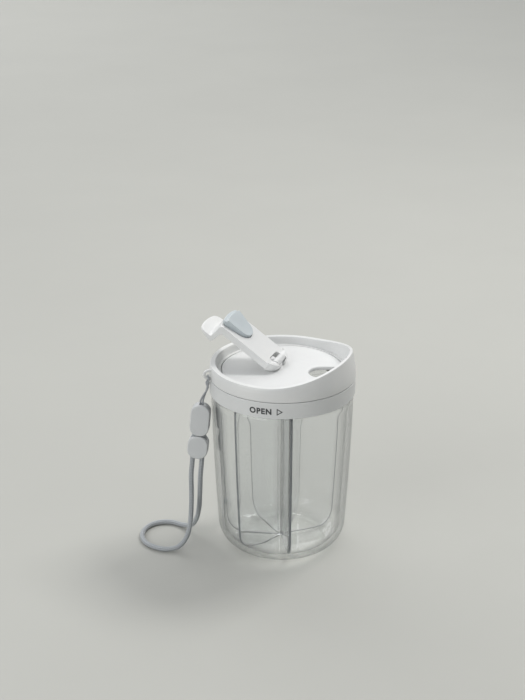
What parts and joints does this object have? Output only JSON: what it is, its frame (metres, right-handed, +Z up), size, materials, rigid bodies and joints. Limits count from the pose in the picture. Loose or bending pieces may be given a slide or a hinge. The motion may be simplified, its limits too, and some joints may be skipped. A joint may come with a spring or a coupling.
{
  "type": "pill_dispenser",
  "caption": "Rotary pill dispenser: clear cup with radial blades, screw collar, turning lid with a raised lip, flip-up plug lever and a wrist strap",
  "frame": {"origin": "centre of the cup's flat base, on the axis that the collar and lid turn about", "axes": "+Z up along the cup's axis, +X to the right and +Y away in the drawing's view"},
  "size_m": [0.121, 0.08, 0.1322],
  "materials": {
    "clear_plastic": "clear, polished",
    "blade_plastic": "clear, moulded",
    "white_plastic": "satin moulded",
    "collar_plastic": "satin moulded",
    "silicone": "soft matte",
    "steel": "drawn",
    "cord": "braided",
    "bead_plastic": "satin moulded"
  },
  "bodies": {
    "cup_body": {"cup": "clear_plastic", "divider_insert": "blade_plastic"},
    "thread_carrier": {"cup_seal": "silicone"},
    "collar": {"screw_collar": "collar_plastic"},
    "lid": {"lid_shell": "white_plastic", "lid_deck": "white_plastic", "retaining_ring": "white_plastic", "rotary_seal": "silicone", "click_spring": "steel", "hinge_pin": "steel", "hitch_cord": "cord", "long_bead": "bead_plastic", "strap_crimp": "steel", "wrist_loop": "cord"},
    "lever_body": {"lever": "white_plastic", "plug_seal": "silicone"},
    "slider": {"slider_bead": "bead_plastic"}
  },
  "joints": [
    {"name": "collar_lift", "type": "slide", "parent": "cup_body", "child": "thread_carrier", "axis": [0, 0, 1], "range_m": [0, 0.00401]},
    {"name": "collar_turn", "type": "hinge", "parent": "thread_carrier", "child": "collar", "pos_m": [0, 0, 0.0965], "axis": [0, 0, 1], "range_deg": [0, 120]},
    {"name": "lid_turn", "type": "hinge", "parent": "collar", "child": "lid", "pos_m": [0, 0, 0.101], "axis": [0, 0, 1], "continuous": true},
    {"name": "lever_flip", "type": "hinge", "parent": "lid", "child": "lever_body", "pos_m": [-0.00235, 0.00086, 0.1083], "axis": [0.342, 0.9397, 0], "range_deg": [-8, 146]},
    {"name": "slider_slide", "type": "slide", "parent": "lid", "child": "slider", "axis": [-0.09, 0.0174, -0.9958], "range_m": [0, 0.012]}
  ],
  "couplings": [
    {"joint": "collar_lift", "follows": "collar_turn", "m_per_rad": 0.0019099}
  ]
}
